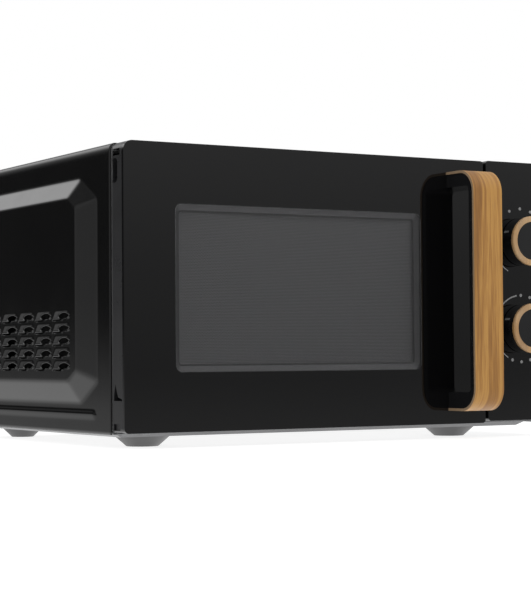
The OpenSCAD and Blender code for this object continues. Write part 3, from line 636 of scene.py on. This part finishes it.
def skin_outline():
    """The skin's lines from foot to foot, as (part, where): a Z, an X, or a corner's two distances."""
    corner = LEAN[1:-1]
    lean_x, lean_fall = LEAN[-1]
    for i in range(ROUND_STEPS + 1):
        a = LEAN_ANGLE + (math.pi / 2 - LEAN_ANGLE) * i / ROUND_STEPS
        fall = (1 - math.sin(a)) / (1 - math.sin(LEAN_ANGLE))
        corner.append((lean_x + TOP_RADIUS * (math.cos(LEAN_ANGLE) - math.cos(a)), lean_fall * fall))
    flat = corner[-1][0] + TOP_MARGIN
    outline = [("left", z) for z in lines(*GRID_Z)]
    outline += [("left_corner", c) for c in corner]
    outline += [("top", x) for x in lines((flat, FLAT_RIGHT - flat, TOP_STEP))]
    outline += [("right_corner", c) for c in reversed(corner)]
    return outline + [("right", z) for z in reversed(lines(*GRID_Z))]


def skin_point(part, where, y):
    if part in SIDES:
        flat, outward, columns = SIDES[part]
        y, z = snapped(y, where, columns)
        return flat + outward * side_height(y, z, columns), y, z
    if part == "top":
        return where, y, CASE_TOP
    inward, fall = where
    return (inward if part == "left_corner" else FLAT_RIGHT - inward), y, CASE_TOP - fall


def wrapper_skin(bm):
    y_lines = lines(*GRID_Y)
    rows = [(part, [bm.verts.new(skin_point(part, where, y)) for y in y_lines])
            for part, where in skin_outline()]
    for (part, row), (_, above) in zip(rows, rows[1:]):
        for i in range(len(y_lines) - 1):
            corners = (row[i], row[i + 1], above[i + 1], above[i])
            if part not in SIDES or not is_cut([v.co for v in corners], SIDES[part][2]):
                bm.faces.new(corners)


wrapper = new_piece("wrapper_skin", wrapper_skin, LOOKS["case_paint"], "case")
thicken = wrapper.modifiers.new("sheet", "SOLIDIFY")
thicken.thickness = SKIN * MM
thicken.offset = -1
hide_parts("wrapper")

# ---------------------------------------------------------------- printing

# Print stands out by INK_DEPTH from the panel's front face, which is at Y = 0. Round each dial there are
# dots of radius DOT, as ("dot", clock angle), and arcs, as ("arc", start, end, width there, width there).
PRINT_RADIUS = 31.6
DOT = 1.5
INK_DEPTH = 0.12
DOT_SIDES = 20
SCALES = {
    "power": [("dot", i * 23.7) for i in range(-5, 6)]
    + [("arc", side * 152, side * 125, 0.9, 1.1) for side in (-1, 1)],
    "timer": [("arc", -150, -9, 0.9, 1.4)] + [("dot", i * 20) for i in range(11)],
}
# A pale grey strip runs along each dial's side, at the same clock angle on both dials: its clock angle and
# half width, how far from the dial's axis its wall is, how deep it is sunk there, and how far its ends are
# from the dial's face and the panel
STRIP_ANGLE = -67
STRIP_HALF = 1.0
STRIP_RADIUS, STRIP_SUNK = 22.55, 0.3
STRIP_FRONT, STRIP_BACK = 9, -2.5


def raised(bm, outline):
    """A flat face of print through points in X and Z, and its thickness in front of it."""
    face = bm.faces.new([bm.verts.new((x, 0, z)) for x, z in outline])
    extruded = bmesh.ops.extrude_face_region(bm, geom=[face])
    verts = [v for v in extruded["geom"] if isinstance(v, bmesh.types.BMVert)]
    bmesh.ops.translate(bm, verts=verts, vec=(0, -INK_DEPTH, 0))


def print_dot(bm, centre, angle):
    clock = math.radians(angle)
    x, z = centre.x + PRINT_RADIUS * math.sin(clock), centre.z + PRINT_RADIUS * math.cos(clock)
    turns = (math.tau * i / DOT_SIDES for i in range(DOT_SIDES))
    raised(bm, [(x + DOT * math.cos(a), z + DOT * math.sin(a)) for a in turns])


def print_arc(bm, centre, start, end, width_start, width_end):
    """An arc from one clock angle to another, its width changing evenly."""
    steps = max(2, int(abs(end - start) / 2))
    inner, outer = [], []
    for i in range(steps + 1):
        t = i / steps
        a = math.radians(start + (end - start) * t)
        half = (width_start + (width_end - width_start) * t) / 2
        for ring, r in ((inner, PRINT_RADIUS - half), (outer, PRINT_RADIUS + half)):
            ring.append((centre.x + r * math.sin(a), centre.z + r * math.cos(a)))
    for k in range(steps):
        raised(bm, (inner[k], inner[k + 1], outer[k + 1], outer[k]))
    bmesh.ops.remove_doubles(bm, verts=bm.verts, dist=0.0005)


def dial_print(which, centre):
    def build(bm):
        for kind, *numbers in SCALES[which]:
            draw = print_dot if kind == "dot" else print_arc
            draw(bm, centre, *numbers)
    return build


def side_strip(centre, front):
    """A pale grey strip on the dial's side, along its axis."""
    def build(bm):
        a = math.radians(STRIP_ANGLE)
        out = Vector((math.sin(a), 0, math.cos(a)))
        across = Vector((math.cos(a), 0, -math.sin(a)))
        box = [Vector((centre.x, y, centre.z)) + out * (STRIP_RADIUS + d) + across * w
               for y in (front + STRIP_FRONT, STRIP_BACK)
               for d in (-STRIP_SUNK, INK_DEPTH) for w in (-STRIP_HALF, STRIP_HALF)]
        v = [bm.verts.new(p) for p in box]
        for quad in ((0, 1, 3, 2), (4, 6, 7, 5), (0, 4, 5, 1), (2, 3, 7, 6), (0, 2, 6, 4), (1, 5, 7, 3)):
            bm.faces.new([v[i] for i in quad])
    return build


def ink(name, level):
    s = Shader(name, (level, level, level), 0.5)
    s.vary(0.15, 400)
    s.bump(s.noise(2500, 2.0), 0.01)
    return s.mat


DIALS = [("power", *span("power_knob")), ("timer", *span("timer_knob"))]
scale_ink = ink("white_print", 0.22)
for which, low, high in DIALS:
    build = dial_print(which, (low + high) / 2)
    new_piece(f"{which}_scale_print", build, scale_ink, "case", smooth=False)
strip_ink = ink("strip_ink", 0.14)
for which, low, high in DIALS:
    build = side_strip((low + high) / 2, low.y)
    new_piece(f"{which}_pointer", build, strip_ink, f"{which}_dial", smooth=False)

# ---------------------------------------------------------------- window bezel

GLASS_BACK = span("door_glass")[1].y
# The band behind the window's edge: how far its outer edge is in from the window's, its width, and how far
# its outer edge, its inner edge and its back are behind the glass. The lip goes on inward from it: its
# width in X and in Z, and how far its three edges are behind the glass.
BAND_GAP, BAND, BAND_DEPTHS = 0.3, 4.9, (0.05, 2.2, 2.9)
LIP_WIDTHS, LIP_DEPTHS = (0.4, 1.4), (2.2, 2.4, 3.1)
BAND_RADIUS, LIP_RADIUS = 3, 2.5
CORNER_STEPS = 6


def window_outline(inset_x, inset_z, r):
    """The window's outline moved in, with corners of radius r, anticlockwise from the bottom right."""
    (x0, z0), (x1, z1) = WINDOW
    left, right, bottom, top = x0 + inset_x + r, x1 - inset_x - r, z0 + inset_z + r, z1 - inset_z - r
    points = []
    for cx, cz, turn in ((right, bottom, -90), (right, top, 0), (left, top, 90), (left, bottom, 180)):
        for i in range(CORNER_STEPS + 1):
            a = math.radians(turn + 90 * i / CORNER_STEPS)
            points.append((cx + r * math.cos(a), cz + r * math.sin(a)))
    return points


def sloped_ring(outer, inner, depths):
    """A ring between two outlines of equal length, whose front goes from the first depth to the second."""
    y_outer, y_inner, y_back = (GLASS_BACK + depth for depth in depths)

    def build(bm):
        loops = [[bm.verts.new((x, y, z)) for x, z in outline]
                 for outline, y in ((outer, y_outer), (inner, y_inner), (inner, y_back), (outer, y_back))]
        count = len(outer)
        for a, b in zip(loops, loops[1:] + loops[:1]):
            for i in range(count):
                j = (i + 1) % count
                bm.faces.new((a[i], a[j], b[j], b[i]))
    return build


def bezel():
    """Grey moulding with painted shade: its upright sides, facing along X, are darker than its top and
    bottom.
    """
    s = Shader("window_band", (0.2, 0.2, 0.203), 0.45)
    s.vary(0.1, 60)
    # Painted shade for the upright sides, which face along X
    side_shade = (0.075, 0.075, 0.076)
    side = s.remap(s.math("ABSOLUTE", s.facing()["X"]), 0.0, 1.0, 0.08, 0.3)
    s.drive("Base Color", s.mix(side, s.color, side_shade))
    s.bump(s.noise(1500, 2.0), 0.02)
    return s.mat


band_outer = window_outline(BAND_GAP, BAND_GAP, WINDOW_CORNER - BAND_GAP)
band_inner = window_outline(BAND, BAND, BAND_RADIUS)
lip_inner = window_outline(*(BAND + width for width in LIP_WIDTHS), LIP_RADIUS)
band = sloped_ring(band_outer, band_inner, BAND_DEPTHS)
new_piece("window_band", band, bezel(), "door", smooth=False)
lip = sloped_ring(band_inner, lip_inner, LIP_DEPTHS)
# Near-black lip: its dark inner wall, with painted shade for the gap along the band's inner edge
lip_wall_and_shade = grained("window_lip", (0.025, 0.025, 0.025), 0.5)
new_piece("window_lip", lip, lip_wall_and_shade, "door", smooth=False)

# ---------------------------------------------------------------- studio

scene = bpy.context.scene
scene.view_settings.view_transform = "Standard"


def stage_plane(name, size, facing, material):
    """A square stage piece of that size in the middle of the ground, whose normal is facing."""
    mesh = bpy.data.meshes.new(name)
    h = size / 2
    mesh.from_pydata([(-h, -h, 0), (h, -h, 0), (h, h, 0), (-h, h, 0)], [], [(0, 1, 2, 3)])
    plane = bpy.data.objects.new(name, mesh)
    plane.rotation_mode = "QUATERNION"
    plane.rotation_quaternion = Vector(facing).to_track_quat("Z", "Y")
    scene.collection.objects.link(plane)
    dress(plane, material)
    return plane


def floor_material():
    s = Shader("floor", (0.3, 0.3, 0.3), 0.7)
    s.vary(0.02, 2)
    s.set("Specular IOR Level", 0.1)
    s.set("Emission Color", (0.9, 0.9, 0.9, 1))
    s.set("Emission Strength", 0.92)
    return s.mat


floor = stage_plane("floor", 40, (0, 0, 1), floor_material())
floor.visible_glossy = False


def softbox(name, location, target, size, power):
    data = bpy.data.lights.new(name, "AREA")
    data.shape = "RECTANGLE"
    data.size = data.size_y = size
    data.energy = power
    lamp = bpy.data.objects.new(name, data)
    lamp.rotation_mode = "QUATERNION"
    lamp.location = location
    lamp.rotation_quaternion = (Vector(location) - Vector(target)).to_track_quat("Z", "Y")
    lamp.visible_camera = False
    lamp.visible_glossy = False
    scene.collection.objects.link(lamp)


softbox("sky", location=(0, 0, 3.2), target=(0, 0, 0.12), size=5, power=40)

# The level in reflections that 1 stands for in the world's colours, which can't be brighter than 1
BRIGHTEST = 4.0


class World(Nodes):
    """What the studio looks like: plain white to the eye, and walls of chosen brightness in reflections."""

    def __init__(self, seen):
        self.world = bpy.data.worlds.new("studio")
        self.world.use_nodes = True
        super().__init__(self.world.node_tree)
        self.tree.nodes.clear()
        self.direction = self.node("ShaderNodeTexCoord").outputs["Generated"]
        plain = self.node("ShaderNodeBackground", {"Color": (seen, seen, seen, 1)})
        self.mirrored = self.node("ShaderNodeBackground", {"Strength": BRIGHTEST})
        pick = self.node("ShaderNodeMixShader")
        out = self.node("ShaderNodeOutputWorld")
        self.link(self.node("ShaderNodeLightPath").outputs["Is Glossy Ray"], pick.inputs[0])
        self.link(plain.outputs[0], pick.inputs[1])
        self.link(self.mirrored.outputs[0], pick.inputs[2])
        self.link(pick.outputs[0], out.inputs[0])

    def toward(self, axis):
        """The cosine between the reflected ray and an axis."""
        dot = self.node("ShaderNodeVectorMath", {1: Vector(axis).normalized()}, operation="DOT_PRODUCT")
        self.link(self.direction, dot.inputs[0])
        return dot.outputs["Value"]

    def combine(self, operation, a, b, gain=1.0):
        """Two levels added or multiplied, times gain."""
        n = self.node("ShaderNodeVectorMath", operation=operation)
        self.link(a, n.inputs[0])
        self.link(b, n.inputs[1])
        scaled = self.node("ShaderNodeVectorMath", {"Scale": gain}, operation="SCALE")
        self.link(n.outputs[0], scaled.inputs[0])
        return scaled.outputs[0]

    def curve(self, cosine, stops):
        """Grey levels at given cosines, as (cosine, level), joined by straight lines."""
        half = self.remap(cosine, 0.0, 1.0, -1.0, 1.0)
        return self.ramp(half, [((c + 1) / 2, (level / BRIGHTEST,) * 3) for c, level in stops])


studio = World(seen=1.0)
height = studio.toward((0, 0, 1))
across = studio.toward((1, 0, 0))
front_wall = studio.curve(height, [(-1, 0.9), (-0.3, 0.9), (-0.045, 0.38), (-0.01, 0.25), (0.05, 0.32),
                                   (0.12, 0.5), (0.3, 0.7), (0.7, 1.2)])
horizon = studio.curve(across, [(-1, 0.42), (-0.85, 0.42), (-0.65, 0.1), (-0.5, 0.03), (-0.2, 0.03),
                                (0.0, 0.08), (0.4, 0.25), (1, 0.4)])
ground = studio.curve(height, [(-1, 1.5), (-0.6, 1.5), (-0.33, 0.72), (-0.1, 0.5), (-0.03, 0.34),
                               (-0.01, 0.14), (0.02, 0.0)])
sky = studio.curve(height, [(0.12, 0.0), (0.25, 0.3), (0.34, 1.3), (0.42, 1.5), (0.7, 1.7), (1, 1.7)])
sky_side = studio.curve(across, [(-0.5, 0.05), (-0.3, 1.0), (-0.09, 1.0), (0.0, 0.25), (1, 0.25)])
lit_sky = studio.combine("MULTIPLY", sky, sky_side, BRIGHTEST)
back_wall = studio.combine("ADD", studio.combine("ADD", horizon, ground), lit_sky)
backward = studio.remap(studio.toward((0, 1, 0)), 0.0, 1.0, -0.15, 0.15)
studio.link(studio.mix(backward, front_wall, back_wall), studio.mirrored.inputs["Color"])
scene.world = studio.world

# ---------------------------------------------------------------- camera

YAW, PITCH, ROLL = (math.radians(a) for a in (30.862, 1.817, -0.428))
CAMERA = (-676.2, -1361.6, 62.6)
camera_data = bpy.data.cameras.new("camera")
camera_data.lens = 109.16
camera_data.sensor_width = 36
camera_data.clip_end = 100
camera = bpy.data.objects.new("camera", camera_data)
scene.collection.objects.link(camera)
forward = Vector((math.sin(YAW) * math.cos(PITCH), math.cos(YAW) * math.cos(PITCH), math.sin(PITCH)))
right = Vector((math.cos(YAW), -math.sin(YAW), 0))
up = right.cross(forward)
tilted_right = math.cos(ROLL) * right + math.sin(ROLL) * up
tilted_up = -math.sin(ROLL) * right + math.cos(ROLL) * up
turn = Matrix((tilted_right, tilted_up, -forward)).transposed()
camera.matrix_world = Matrix.Translation(at(*CAMERA)) @ turn.to_4x4()
scene.camera = camera
